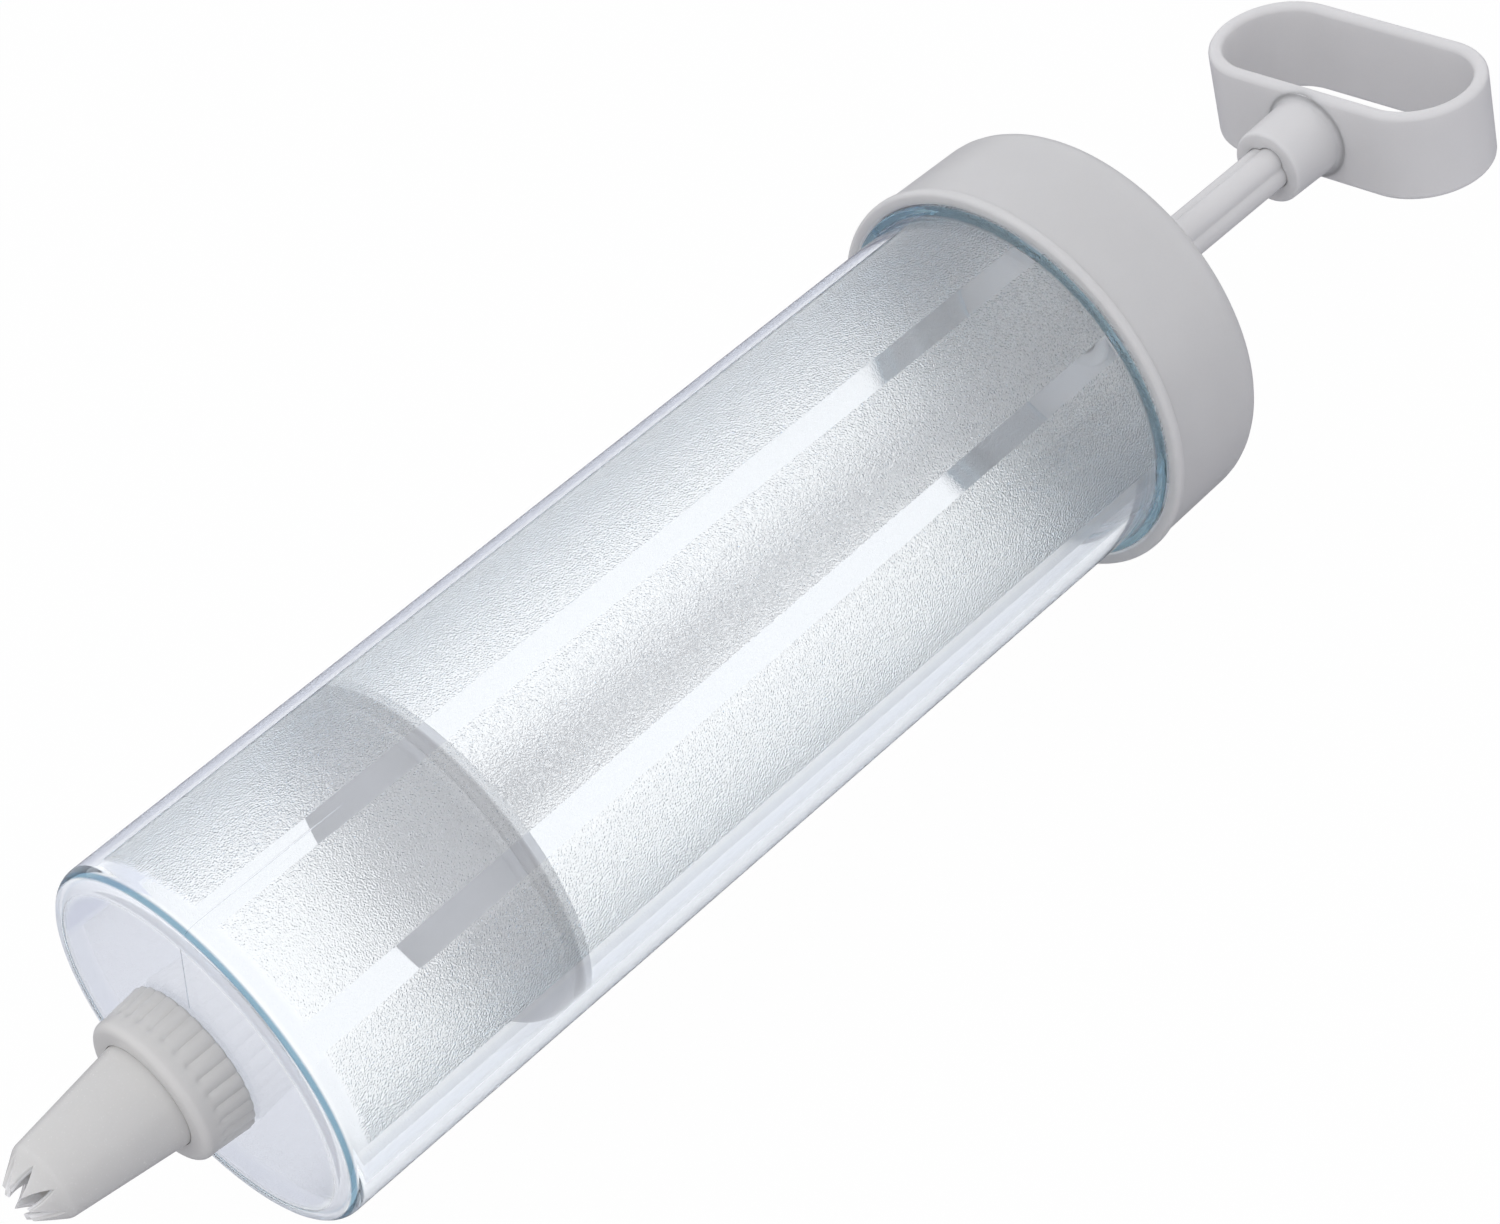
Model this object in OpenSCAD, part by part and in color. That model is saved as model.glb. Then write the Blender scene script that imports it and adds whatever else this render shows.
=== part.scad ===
// Pastry syringe with a clear barrel, a star nozzle and a finger-loop plunger.
// It lies on its side: the nozzle points to -X, the handle to +X, the hole of the loop is along Z.
// Every piece is drawn upright on its own axis, with zero at the barrel's front face, and laid down last.

/* [Barrel] */
// Outside diameter of the clear barrel
barrel_d = 52; // [46:0.5:60]
// Length from the front face to the open rear end
barrel_len = 161; // [120:1:200]
// Thickness of the barrel's wall
barrel_wall = 1.7; // [1.4:0.1:3]
// Thickness of the closed front wall
front_wall = 1.5; // [1.4:0.1:4]
// Rounding of the outer front edge
front_round = 2.4; // [1.2:0.1:3]
// Rounding inside, where the bore meets the front wall
bore_round = 0.9; // [0.6:0.1:1.4]
// Length of the tail that the end cap covers, from the stop ring's front
tail_len = 16.5; // [14:0.5:22]

/* [Stop ring and bayonet] */
// Height of the stop ring above the barrel
stop_h = 1.3; // [1:0.1:2]
// Width of the stop ring along the barrel
stop_w = 2; // [1.5:0.1:3]
// Number of bayonet lugs
lug_count = 3; // [2:1:4]
// Angle that one bayonet lug spans
lug_angle = 32; // [24:1:36]
// Width of a barrel lug along the barrel
lug_w = 2.2; // [1.6:0.1:3]
// Width of a cap lug along the barrel
cap_lug_w = 2.8; // [2:0.1:3.5]

/* [Spout] */
// Outside diameter of the spout that the nozzle seats on
spout_d = 16.4; // [14:0.2:20]
// Bore of the spout
spout_bore_d = 10; // [7:0.5:12]

/* [End cap] */
// Wall of the cap at its mouth, under the bead
cap_front_wall = 1.5; // [1.2:0.1:3]
// Rear wall of the cap
cap_rear_wall = 2.5; // [2:0.1:4]
// Outside draft of the cap, as the loss of radius from front to rear
cap_draft = 0.4; // [0:0.1:0.8]
// Rounding of the cap's outer rear edge
cap_round = 4; // [2:0.2:4.4]
// Height of the bead round the cap's mouth
bead_h = 0.34; // [0.2:0.02:0.6]
// Width of the bead along the cap
bead_w = 1.3; // [1:0.1:2.5]
// Length of the collar inside the cap that guides the rod
guide_len = 3.5; // [2:0.5:6]
// Wall of the guide collar
guide_wall = 2.4; // [1.6:0.1:4]

/* [Plunger] */
// Distance from the barrel's front face to the piston's front, as it is drawn
piston_x = 35.9; // [20:0.5:70]
// Diameter of the four-lobed rod across opposite lobes
rod_d = 6.84; // [5:0.1:9]
// Length of the rod's head
head_len = 1.8; // [1.2:0.1:3]
// Step of the rod's head over the rod
head_step = 1.6; // [1:0.1:2.2]
// Thickness of the piston's front face
piston_face = 1.6; // [1.2:0.1:3]
// Length of the piston's skirt, front lip to rear lip
piston_len = 4.4; // [3.6:0.1:8]
// Width of each sealing lip
lip_w = 1.15; // [0.8:0.05:1.6]
// Depth of the groove between the sealing lips
lip_groove = 0.9; // [0.4:0.1:1.5]
// Wall of the piston's skirt under the groove
skirt_wall = 1.4; // [1:0.1:2.5]
// Wall of the hub that holds the rod's head
hub_wall = 1.9; // [1.4:0.1:3]
// Thickness of the hub's snap lip behind the rod's head
snap_lip = 1.5; // [1:0.1:3]

/* [Handle] */
// Length of the finger loop across the axis
loop_l = 44.2; // [38:0.5:54]
// Width of the finger loop along the axis
loop_w = 20.4; // [17:0.2:26]
// Height of the loop's band
loop_h = 13.9; // [11:0.2:18]
// Thickness of the loop's band
loop_wall = 2.1; // [1.6:0.1:3]
// Length of the boss, from its end to the band
boss_len = 8.9; // [6:0.1:14]
// Diameter of the boss at its end
boss_d = 11.08; // [10.4:0.1:13]
// Depth of the rod's socket in the boss
socket_depth = 8.1; // [5:0.1:8.5]
// Gap between the boss and the cap with the plunger pushed home
handle_gap = 2.3; // [1:0.1:10]

/* [Coupling ring] */
// Length of the ring
ring_len = 7.3; // [6.4:0.1:10]
// Diameter over the grip ribs at the rear
ring_d = 21.12; // [20.4:0.1:25]
// Number of grip ribs
grip_ribs = 30; // [20:1:40]
// Length of the smooth collar in front of the ribs
collar_len = 2.1; // [1.4:0.1:3]
// Thickness of the front lip that clamps the nozzle
ring_lip = 1.4; // [1:0.1:2.2]

/* [Star nozzle] */
// Diameter of the nozzle where it leaves the ring
nozzle_d = 14.5; // [13:0.1:16]
// Diameter where the tip starts to draw in
shoulder_d = 10.56; // [9:0.1:12]
// Diameter over the points of the star
tip_d = 5.38; // [4:0.1:8]
// Length from the ring to the star's points
nozzle_reach = 19.7; // [14:0.1:30]
// Length of the drawn-in tip
tip_len = 3.8; // [3:0.1:6]
// Wall of the nozzle
nozzle_wall = 1.2; // [0.9:0.05:1.6]
// Number of teeth
teeth = 8; // [5:1:10]
// Length of the cuts between the teeth
tooth_len = 3.1; // [2:0.1:3.8]
// Thickness of the flange that the ring clamps
flange_w = 1.2; // [0.8:0.1:2]

/* [Clearances] */
// Piston to bore, on the radius
bore_fit = 0.05; // [0.02:0.01:0.1]
// Rod to handle socket and rod head to hub, on the radius
socket_fit = 0.05; // [0.02:0.01:0.1]
// Rod to cap hole and rod to hub lip, on the radius
rod_play = 0.3; // [0.15:0.05:0.5]
// Cap to stop ring and lugs, on the radius
cap_play = 0.1; // [0.05:0.05:0.2]
// Gap between faces that only just meet
seat_gap = 0.05; // [0.02:0.01:0.1]
// Spare gap where an end must not touch
end_gap = 0.5; // [0.2:0.1:1]

/* [Hidden] */
$fn = 96;
over = 1;                                   // overrun of a cut past the face it goes through
arc_steps = 6;                              // straight steps in one rounded corner

// Barrel
barrel_r = barrel_d / 2;
bore_r = barrel_r - barrel_wall;
stop_r = barrel_r + stop_h;
stop_x = barrel_len - tail_len;
edge = 0.4;                                 // small chamfer on moulded edges
spout_r = spout_d / 2;
spout_bore_r = spout_bore_d / 2;
funnel_share = 0.4;                         // depth of the funnel as a share of the front wall
funnel = front_wall * funnel_share;         // flare of the spout's bore into the chamber

// Bayonet: the cap's lugs lie between the stop ring and the barrel's lugs
cap_lug_x = stop_x + stop_w + seat_gap;
lug_x = cap_lug_x + cap_lug_w + seat_gap;
lug_r = stop_r - cap_play;
cap_lug_r = barrel_r + cap_play;
nib_angle = 3;                              // end stop of the closing turn
nib_gap_angle = 0.5;
lug_turn = 60;                              // turn of the first lug about the axis

// End cap
mouth_set = 0.5;                            // the stop ring stands out of the cap by this much
cap_x = stop_x + mouth_set;
cap_inner_rear = barrel_len + end_gap;
cap_rear = cap_inner_rear + cap_rear_wall;
cap_mouth_r = stop_r + cap_play;
cap_step_x = lug_x + lug_w + end_gap;       // behind the lugs the cap closes in on the barrel
cap_rear_bore_r = barrel_r + end_gap;
cap_front_r = cap_mouth_r + cap_front_wall;
cap_r = cap_front_r - cap_draft;
bead_r = cap_front_r + bead_h;
bead_share = 0.7;                           // rounding of the bead as a share of its height
bead_round = bead_h * bead_share;
rod_r = rod_d / 2;
rod_hole_r = rod_r + rod_play;
guide_r = rod_hole_r + guide_wall;

// Plunger, from the piston back to the loop
push_play = 0.3;                            // gap left when the piston is pushed home
push_travel = piston_x - front_wall - push_play;
piston_r = bore_r - bore_fit;
piston_round = bore_round + bore_fit;
head_r = rod_r + head_step;
head_x = piston_x + piston_face + seat_gap;
hub_x = head_x + head_len + seat_gap;       // front of the snap lip
hub_end = hub_x + snap_lip;
hub_r = head_r + socket_fit + hub_wall;
snap_r = rod_r + rod_play / 2;
boss_x = cap_rear + handle_gap + push_travel;
rod_end = boss_x + socket_depth - seat_gap;
loop_x = boss_x + boss_len;
socket_r = rod_r + socket_fit;
boss_r = boss_d / 2;
boss_draft = 0.26;                          // growth of the boss radius towards the loop
boss_fillet = 0.8;
loop_round = 0.93;
lobe_share = 0.6;                           // lobe radius as a share of the rod's radius
groove_turn = 73.5;                         // turn of the rod's grooves about its axis

// Coupling ring and nozzle, towards -X
ring_gap = 0.3;                             // gap between the barrel's front face and the ring
thread_play = 0.3;                          // room for the threads between spout and ring
ring_front = ring_gap + ring_len;
lip_x = ring_front - ring_lip;
flange_x = lip_x - seat_gap;
spout_len = flange_x - flange_w - seat_gap;
ring_bore_r = spout_r + thread_play;
flange_r = ring_bore_r - thread_play;
ring_r = ring_d / 2;
ring_taper = 0.45;                          // fall of the rib radius from rear to front
rib_share = 1.2;                            // rib radius as a share of half the rib pitch
rib_r = PI * ring_r / grip_ribs * rib_share;
rib_len = ring_len - collar_len;
collar_r = ring_r - ring_taper;
collar_round = 1.15;
lip_round = 0.8;
nozzle_r = nozzle_d / 2;
lip_hole_r = nozzle_r + rod_play;
shoulder_r = shoulder_d / 2;
tip_r = tip_d / 2;
tip_x = ring_front + nozzle_reach;
shoulder_x = tip_x - tip_len;
shank_slope = (nozzle_r - shoulder_r) / (shoulder_x - ring_front);
root_r = nozzle_r + shank_slope * (ring_front - flange_x);
tip_wall_share = 0.75;                      // wall at the tip as a share of the nozzle's wall
tip_wall = nozzle_wall * tip_wall_share;
tooth_share = 0.92;                         // cut width at the points as a share of the tooth pitch
tooth_turn = 131.6;                         // turn of the first tooth about the axis
cut_x = tip_x - tooth_len;

// Whole object
rest_r = bead_r;
middle_x = (loop_x + loop_w - tip_x) / 2;

clear_blue = [0.80, 0.86, 0.92, 0.35];
pale_grey = [0.71, 0.71, 0.70];
milky = [0.84, 0.84, 0.83];

// Points of an arc round (cx, cy) from angle a to angle b
function arc(cx, cy, r, a, b) =
    [for (i = [0:arc_steps]) let (t = a + (b - a) * i / arc_steps) [cx + r * cos(t), cy + r * sin(t)]];

// Lays an upright piece on its side, with the bead's lowest point on the ground
module laid() {
    translate([-middle_x, 0, rest_r]) rotate([90, 0, 90]) children();
}

module spin(outline) {
    rotate_extrude() polygon(outline);
}

// A stretch of ring between two radii, two places along the axis and two angles
module ring_piece(r0, r1, x0, x1, a0, a1) {
    rotate([0, 0, a0]) rotate_extrude(angle = a1 - a0) translate([r0, x0]) square([r1 - r0, x1 - x0]);
}

module barrel() {
    shell = concat(
        [[spout_bore_r, -spout_len], [spout_r - edge, -spout_len], [spout_r, edge - spout_len], [spout_r, 0]],
        arc(barrel_r - front_round, front_round, front_round, -90, 0),
        [[barrel_r, stop_x], [stop_r - edge, stop_x], [stop_r, stop_x + edge],
         [stop_r, stop_x + stop_w], [barrel_r, stop_x + stop_w],
         [barrel_r, barrel_len - edge], [barrel_r - edge, barrel_len],
         [bore_r + edge, barrel_len], [bore_r, barrel_len - edge]],
        arc(bore_r - bore_round, front_wall + bore_round, bore_round, 0, -90),
        [[spout_bore_r + funnel, front_wall], [spout_bore_r, front_wall - funnel]]);
    color(clear_blue) laid() {
        spin(shell);
        for (i = [0:lug_count - 1]) rotate([0, 0, lug_turn + i * 360 / lug_count]) barrel_lug();
    }
}

// A bayonet lug; the nib at its closed end stops the cap's lug
module barrel_lug() {
    root_r = barrel_r - edge;
    closed = -lug_angle / 2 - nib_gap_angle;
    difference() {
        ring_piece(root_r, lug_r, stop_x + edge, lug_x + lug_w, closed - nib_angle, lug_angle / 2);
        ring_piece(root_r - over, lug_r + over, stop_x, lug_x, closed, lug_angle);
    }
}

module end_cap() {
    shell = concat(
        [[cap_mouth_r, cap_x + edge], [cap_mouth_r + edge, cap_x]],
        arc(bead_r - bead_round, cap_x + bead_round, bead_round, -90, 0),
        arc(bead_r - bead_round, cap_x + bead_w - bead_round, bead_round, 0, 90),
        [[cap_front_r, cap_x + bead_w]],
        arc(cap_r - cap_round, cap_rear - cap_round, cap_round, 0, 90),
        [[rod_hole_r + edge, cap_rear], [rod_hole_r, cap_rear - edge],
         [rod_hole_r, cap_inner_rear - guide_len + edge], [rod_hole_r + edge, cap_inner_rear - guide_len],
         [guide_r, cap_inner_rear - guide_len], [guide_r, cap_inner_rear],
         [cap_rear_bore_r - edge, cap_inner_rear], [cap_rear_bore_r, cap_inner_rear - edge],
         [cap_rear_bore_r, cap_step_x + edge], [cap_mouth_r, cap_step_x]]);
    color(pale_grey) laid() {
        spin(shell);
        for (i = [0:lug_count - 1]) rotate([0, 0, lug_turn + i * 360 / lug_count])
            ring_piece(cap_lug_r, cap_mouth_r + edge, cap_lug_x, cap_lug_x + cap_lug_w,
                       -lug_angle / 2, lug_angle / 2);
    }
}

// Four-lobed section of the rod
module rod_section() {
    lobe_r = rod_r * lobe_share;
    for (i = [0:3]) rotate(groove_turn + 45 + 90 * i) translate([rod_r - lobe_r, 0]) circle(lobe_r);
    circle(rod_r - lobe_r);
}

module plunger_rod() {
    color(pale_grey) laid() {
        translate([0, 0, head_x]) linear_extrude(rod_end - head_x) rod_section();
        spin([[0, head_x], [head_r - edge, head_x], [head_r, head_x + edge],
              [head_r, head_x + head_len - edge], [head_r - edge, head_x + head_len], [0, head_x + head_len]]);
    }
}

module piston() {
    rear = piston_x + piston_len;
    groove_front = piston_x + max(lip_w, piston_round);
    groove_r = piston_r - lip_groove;
    skirt_r = groove_r - skirt_wall;
    inner_x = piston_x + piston_face;
    cavity_r = head_r + socket_fit;
    color(milky) laid() spin(concat(
        [[0, piston_x]],
        arc(piston_r - piston_round, piston_x + piston_round, piston_round, -90, 0),
        [[piston_r, groove_front], [groove_r, groove_front + lip_groove / 2],
         [groove_r, rear - lip_w - lip_groove / 2], [piston_r, rear - lip_w],
         [piston_r, rear - edge / 2], [piston_r - edge / 2, rear],
         [skirt_r, rear], [skirt_r, inner_x], [hub_r, inner_x],
         [hub_r, hub_end], [snap_r + edge, hub_end], [snap_r, hub_end - edge],
         [snap_r, hub_x], [cavity_r, hub_x], [cavity_r, inner_x], [0, inner_x]]));
}

// Section of the loop's band, standing square to the axis at distance r
module band_section(r) {
    translate([r, 0]) polygon(concat(
        arc(loop_round, loop_h / 2 - loop_round, loop_round, 180, 90),
        arc(loop_wall - loop_round, loop_h / 2 - loop_round, loop_round, 90, 0),
        arc(loop_wall - loop_round, loop_round - loop_h / 2, loop_round, 0, -90),
        arc(loop_round, loop_round - loop_h / 2, loop_round, -90, -180)));
}

// The finger loop: two half rings joined by two straight bands
module finger_loop() {
    straight = loop_l - loop_w;
    inner_r = loop_w / 2 - loop_wall;
    for (side = [-1, 1]) {
        translate([side * straight / 2, 0]) rotate([0, 0, -90 * side])
            rotate_extrude(angle = 180) band_section(inner_r);
        rotate([0, 0, 90 * side]) translate([0, straight / 2, 0])
            rotate([90, 0, 0]) linear_extrude(straight) band_section(inner_r);
    }
}

module handle() {
    wall_r = boss_r + boss_draft;
    floor_x = boss_x + socket_depth;
    color(pale_grey) laid() {
        translate([0, 0, loop_x + loop_w / 2]) rotate([-90, 0, 0]) finger_loop();
        spin(concat(
            [[0, floor_x], [socket_r, floor_x], [socket_r, boss_x + edge], [socket_r + edge, boss_x],
             [boss_r - edge, boss_x], [boss_r, boss_x + edge], [wall_r, loop_x - boss_fillet]],
            arc(wall_r + boss_fillet, loop_x - boss_fillet, boss_fillet, 180, 90),
            [[wall_r + boss_fillet, loop_x + loop_wall / 2], [0, loop_x + loop_wall / 2]]));
    }
}

module coupling_ring() {
    body_r = ring_r - rib_r / 2;
    color(pale_grey) laid() difference() {
        union() {
            spin(concat(
                [[0, -ring_gap], [body_r, -ring_gap], [collar_r, -ring_gap - rib_len]],
                arc(collar_r - collar_round, collar_round - ring_front, collar_round, 0, -90),
                [[0, -ring_front]]));
            grip();
        }
        translate([0, 0, -lip_x]) cylinder(r = ring_bore_r, h = lip_x);
        translate([0, 0, -ring_front - over]) cylinder(r = lip_hole_r, h = ring_front + over);
    }
}

// Rounded grip ribs that lean in with the ring's taper, cut square at both ends
module grip() {
    lean = atan(ring_taper / rib_len);
    intersection() {
        for (i = [0:grip_ribs - 1]) rotate([0, 0, i * 360 / grip_ribs])
            translate([ring_r - rib_r, 0, -ring_gap]) rotate([0, 180 + lean, 0])
                translate([0, 0, -over]) cylinder(r = rib_r, h = rib_len + 2 * over);
        translate([0, 0, -ring_gap - rib_len]) cylinder(r = ring_r + over, h = rib_len);
    }
}

module star_nozzle() {
    neck_r = root_r - nozzle_wall;
    color(pale_grey) laid() difference() {
        spin([[neck_r, flange_w - flange_x], [flange_r, flange_w - flange_x], [flange_r, -flange_x],
              [root_r, -flange_x], [shoulder_r, -shoulder_x], [tip_r, -tip_x], [tip_r - tip_wall, -tip_x],
              [shoulder_r - nozzle_wall, -shoulder_x]]);
        for (i = [0:teeth - 1]) rotate([0, 0, tooth_turn + (i + 0.5) * 360 / teeth]) tooth_cut();
    }
}

// One V cut between two teeth, running out past the tip
module tooth_cut() {
    half_w = PI * tip_r / teeth * tooth_share;
    spread = half_w * (tooth_len + over) / tooth_len;
    rotate([90, 0, 90]) linear_extrude(shoulder_r + over)
        polygon([[0, -cut_x], [-spread, -tip_x - over], [spread, -tip_x - over]]);
}

barrel();
end_cap();
plunger_rod();
handle();
piston();
coupling_ring();
star_nozzle();
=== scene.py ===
from math import atan2, cos, pi, radians, sin, sqrt, tan

import bmesh
import bpy
from mathutils import Matrix, Vector

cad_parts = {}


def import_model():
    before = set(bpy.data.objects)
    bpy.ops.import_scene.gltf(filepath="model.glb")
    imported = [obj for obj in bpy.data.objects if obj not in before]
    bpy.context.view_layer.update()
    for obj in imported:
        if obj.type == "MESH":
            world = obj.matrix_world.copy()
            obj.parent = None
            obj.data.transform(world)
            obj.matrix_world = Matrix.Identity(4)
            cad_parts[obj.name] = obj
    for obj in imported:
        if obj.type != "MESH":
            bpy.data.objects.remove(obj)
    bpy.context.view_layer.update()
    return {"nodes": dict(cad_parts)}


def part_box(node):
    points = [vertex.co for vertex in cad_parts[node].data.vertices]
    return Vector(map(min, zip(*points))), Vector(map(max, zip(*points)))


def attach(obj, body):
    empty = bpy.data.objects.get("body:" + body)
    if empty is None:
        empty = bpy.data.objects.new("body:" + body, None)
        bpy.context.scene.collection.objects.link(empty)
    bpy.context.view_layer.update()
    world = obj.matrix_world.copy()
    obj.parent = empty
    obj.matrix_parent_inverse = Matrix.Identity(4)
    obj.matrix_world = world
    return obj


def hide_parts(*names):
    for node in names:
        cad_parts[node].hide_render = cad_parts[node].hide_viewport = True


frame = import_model()
print("frame loaded:", ", ".join(sorted(frame["nodes"])))

# Every piece is drawn in millimetres round its own upright axis. Zero is the barrel's front face,
# z grows towards the handle, x becomes the width of the object and y its height.
mm = 0.001
perMetre = 1000
noseReach = 27.3
barrelLow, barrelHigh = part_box("barrel")
axisHeight = (barrelLow.z + barrelHigh.z) / 2
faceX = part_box("star_nozzle")[0].x + noseReach * mm
layDown = (Matrix.Translation((faceX, 0, axisHeight))
           @ Matrix(((0, 0, 1, 0), (1, 0, 0, 0), (0, 1, 0, 0), (0, 0, 0, 1)))
           @ Matrix.Scale(mm, 4))


# shader wiring

# A socket that can be added, multiplied and so on; each sum adds its Math node
class Reading:
    def __init__(self, finish, socket):
        self.finish = finish
        self.socket = socket

    def combine(self, operation, first, second):
        return self.finish.node("ShaderNodeMath", {"operation": operation}, {0: first, 1: second})

    def __add__(self, other):
        return self.combine("ADD", self, other)

    def __sub__(self, other):
        return self.combine("SUBTRACT", self, other)

    def __rsub__(self, other):
        return self.combine("SUBTRACT", other, self)

    def __mul__(self, other):
        return self.combine("MULTIPLY", self, other)

    def __truediv__(self, other):
        return self.combine("DIVIDE", self, other)

    def __rtruediv__(self, other):
        return self.combine("DIVIDE", other, self)

    def __pow__(self, other):
        return self.combine("POWER", self, other)

    def __abs__(self):
        return self.combine("ABSOLUTE", self, 0.0)

    __radd__ = __add__
    __rmul__ = __mul__


# The nodes of one material, or of the world
class Finish:
    def __init__(self, owner):
        self.material = owner
        owner.use_nodes = True
        self.tree = owner.node_tree
        self.tree.nodes.clear()

    # Settings are set first, then the values or links of the sockets
    def node(self, kind, settings=None, sockets=None, output=0):
        made = self.tree.nodes.new(kind)
        for key, value in (settings or {}).items():
            setattr(made, key, value)
        for key, value in (sockets or {}).items():
            if isinstance(value, Reading):
                self.tree.links.new(value.socket, made.inputs[key])
            else:
                made.inputs[key].default_value = value
        return None if output is None else Reading(self, made.outputs[output])

    # Object coordinates in millimetres, centred on the axis at the barrel's front face
    def place(self):
        here = self.node("ShaderNodeTexCoord", None, None, "Object")
        return self.node("ShaderNodeMapping", {"vector_type": "POINT"}, {
            "Vector": here, "Scale": (perMetre, perMetre, perMetre),
            "Location": (-faceX * perMetre, 0, -axisHeight * perMetre)})

    # How far a place lies along the axis, across and above it, and away from it
    def measured(self, where):
        along, across, upward = [self.node("ShaderNodeSeparateXYZ", None, {0: where}, way) for way in "XYZ"]
        return along, across, upward, (across * across + upward * upward) ** 0.5

    def grain(self, where, scale, detail=2.0, roughness=0.5):
        return self.node("ShaderNodeTexNoise", {"noise_dimensions": "3D"}, {
            "Vector": where, "Scale": scale, "Detail": detail, "Roughness": roughness}, "Fac")

    # 0 below low, 1 above high, smooth between
    def rise(self, value, low, high):
        return self.node("ShaderNodeMapRange", {"interpolation_type": "SMOOTHSTEP"}, {
            "Value": value, "From Min": low, "From Max": high, "To Min": 0.0, "To Max": 1.0})

    def mixColour(self, share, first, second):
        return self.node("ShaderNodeMix", {"data_type": "RGBA"}, {0: share, 6: first, 7: second}, 2)

    # 1 for rays of one kind, such as "Is Camera Ray"
    def rays(self, kind):
        return self.node("ShaderNodeLightPath", None, None, kind)

    def larger(self, first, second):
        return self.node("ShaderNodeMath", {"operation": "MAXIMUM"}, {0: first, 1: second})

    def bump(self, height, distance, under=None):
        sockets = {"Height": height, "Distance": distance, "Strength": 1.0}
        if under is not None:
            sockets["Normal"] = under
        return self.node("ShaderNodeBump", None, sockets)

    def shown(self, surface, volume=None):
        sockets = {"Surface": surface}
        if volume is not None:
            sockets["Volume"] = volume
        self.node("ShaderNodeOutputMaterial", None, sockets, None)
        return self.material


# camera, light and floor

view = {
    "place": (-0.2355, -0.3168, 0.3299),
    "back": (-0.4341, -0.6293, 0.6447),      # from the syringe towards the camera
    "up": (0.5863, 0.346, 0.7325),
    "lens": 92.73,
    "filmWidth": 36,
    "shift": (0.0105, 0.1137),
    "farthest": 20,
}

studio = {
    "keyFrom": (-0.55, -0.2, 1.0),           # direction of the large soft lamp
    "keyAway": 1.3,
    "keySize": (1.1, 1.1),
    "keyPower": 4.0,
    "keyColour": (1.0, 0.99, 0.97),
    "ambient": (0.80, 0.80, 0.83, 1),        # what the world gives to matt surfaces
    "overhead": (0.88, 0.89, 0.93, 1),       # what gloss and clear plastic show of the room above
    "overheadFade": (0.0, 0.4),              # heights between which the white horizon turns into it
    "glowFrom": (0.45, -0.05, 0.89),         # and the soft glow in it
    "glow": (1.0, 1.0, 1.0, 1),
    "glowFade": (0.84, 0.99),
    "white": (1, 1, 1, 1),
    "floorSize": 6,
    "floorShade": (0.66, 0.66, 0.68, 1),
    "floorGloss": (0.30, 0.30, 0.33, 1),     # the darker floor that smooth surfaces mirror
    "floorSeen": 0.985,                      # how much of the floor's look is plain white
    "floorThrough": (1.15, 1.15, 1.15, 1),   # and that white as the clear wall shows it
    "bounces": 64,                           # light led along inside the clear wall needs this many
    "glossBounces": 60,
    "throughBounces": 24,
}


def addCamera():
    data = bpy.data.cameras.new("viewCamera")
    data.lens = view["lens"]
    data.sensor_width = view["filmWidth"]
    data.shift_x, data.shift_y = view["shift"]
    data.clip_end = view["farthest"]
    camera = bpy.data.objects.new("viewCamera", data)
    back = Vector(view["back"]).normalized()
    right = Vector(view["up"]).cross(back).normalized()
    turn = Matrix((right, back.cross(right), back)).transposed().to_4x4()
    camera.matrix_world = Matrix.Translation(view["place"]) @ turn
    bpy.context.scene.collection.objects.link(camera)
    bpy.context.scene.camera = camera


def addKey():
    data = bpy.data.lights.new("softKey", "AREA")
    data.shape = "RECTANGLE"
    data.size, data.size_y = studio["keySize"]
    data.energy = studio["keyPower"]
    data.color = studio["keyColour"]
    lamp = bpy.data.objects.new("softKey", data)
    toward = Vector(studio["keyFrom"]).normalized()
    lamp.matrix_world = (Matrix.Translation(toward * studio["keyAway"])
                         @ toward.to_track_quat("Z", "Y").to_matrix().to_4x4())
    lamp.visible_glossy = False               # the clear wall would show its sharp outline
    lamp.visible_transmission = False
    bpy.context.scene.collection.objects.link(lamp)


def addWorld():
    world = bpy.data.worlds.new("studioWorld")
    bpy.context.scene.world = world
    finish = Finish(world)
    toward = finish.node("ShaderNodeTexCoord", None, None, "Generated")
    height = finish.node("ShaderNodeSeparateXYZ", None, {0: toward}, "Z")
    room = finish.mixColour(finish.rise(height, *studio["overheadFade"]), studio["white"], studio["overhead"])
    facing = finish.node("ShaderNodeVectorMath", {"operation": "DOT_PRODUCT"}, {
        0: toward, 1: studio["glowFrom"]}, "Value")
    room = finish.mixColour(finish.rise(facing, *studio["glowFade"]), room, studio["glow"])
    inPlastic = finish.larger(finish.rays("Is Glossy Ray"), finish.rays("Is Transmission Ray"))
    shade = finish.mixColour(inPlastic, studio["ambient"], room)
    shade = finish.mixColour(finish.rays("Is Camera Ray"), shade, studio["white"])
    light = finish.node("ShaderNodeBackground", None, {"Color": shade, "Strength": 1.0})
    finish.node("ShaderNodeOutputWorld", None, {"Surface": light}, None)


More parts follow.
